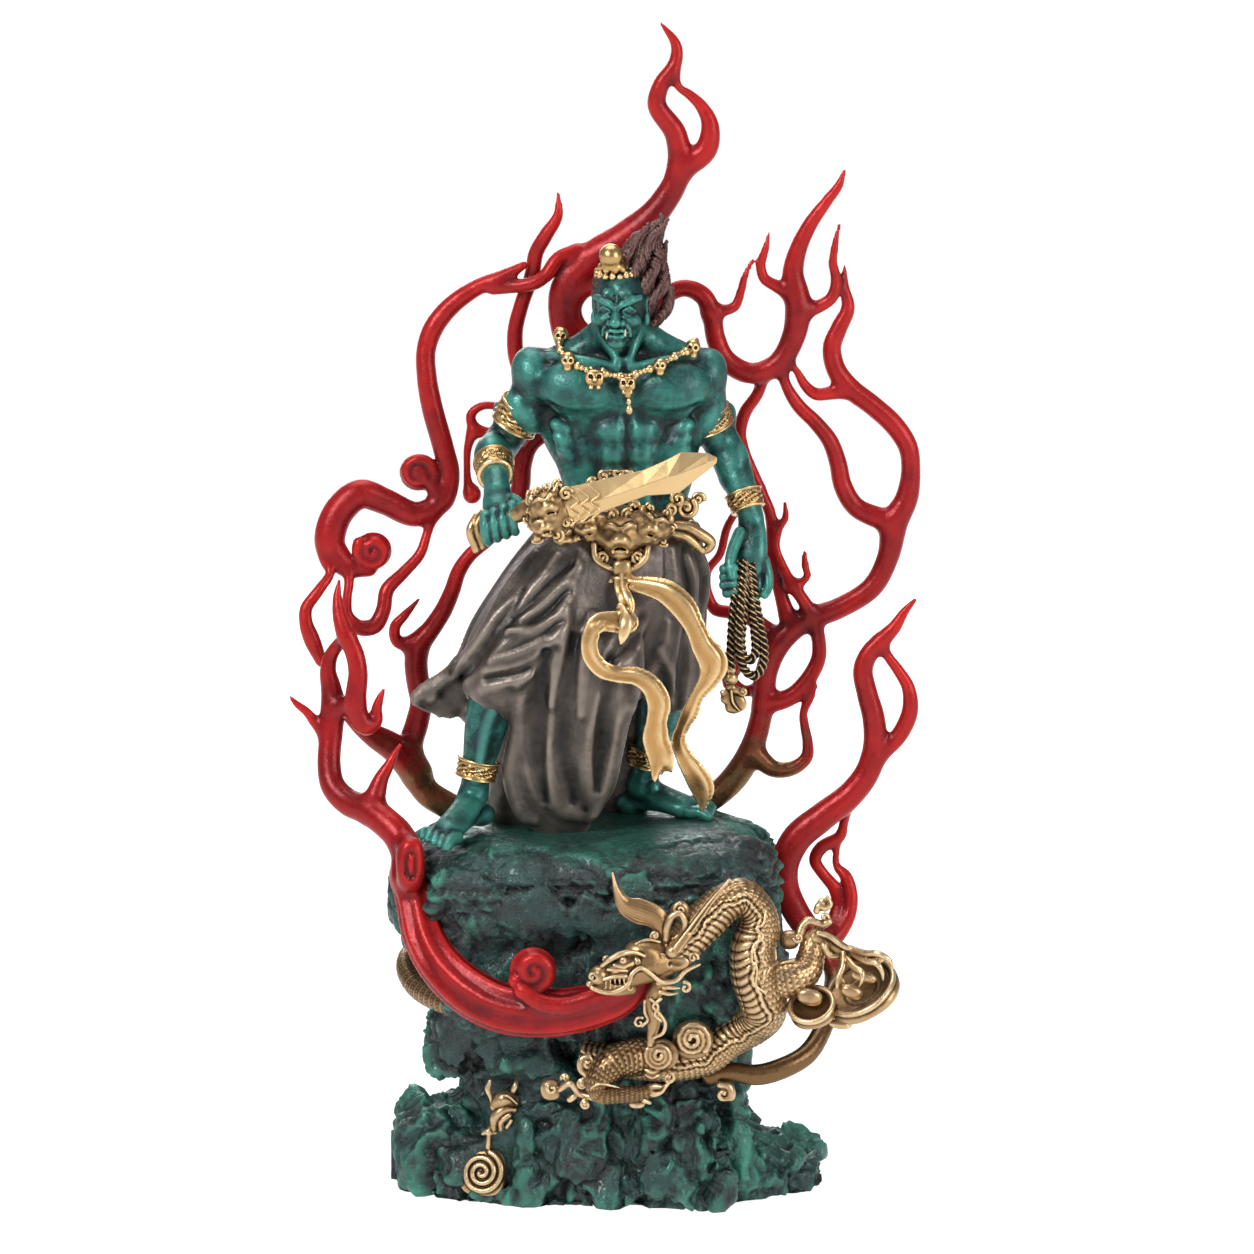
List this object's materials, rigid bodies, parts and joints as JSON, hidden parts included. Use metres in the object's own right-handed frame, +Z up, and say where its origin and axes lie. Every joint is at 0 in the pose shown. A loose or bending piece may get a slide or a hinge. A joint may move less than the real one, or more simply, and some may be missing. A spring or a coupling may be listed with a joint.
{
  "type": "fudo myoo statue",
  "caption": "Cast bronze guardian deity standing on a crag with sword, noose and dragon, ringed by curling flames.",
  "frame": {"origin": "centre of the crag's flat underside, on the surface that it stands on", "axes": "+Z up, +X to the viewer's right, -Y towards the viewer, the way the figure faces"},
  "size_m": [0.3168, 0.1835, 0.5848],
  "materials": {
    "rock": "bronze with near-black green patina, matt",
    "skin": "teal-green patina, satin",
    "robe": "grey-brown bronze, satin",
    "gold": "satin gold bronze with dark hollows",
    "old_gold": "brown bronze with worn edges",
    "flame": "glossy red lacquer over bronze"
  },
  "bodies": {
    "root": {"rock_base": "rock", "figure": "skin", "robe": "robe", "belt_and_ribbons": "gold", "sword": "gold", "noose_rope": "old_gold", "dragon": "gold", "dragon_tail": "old_gold", "breath_flame": "flame", "side_flame": "flame", "flame_halo": "flame", "cloud_pendant": "gold"}
  },
  "joints": []
}
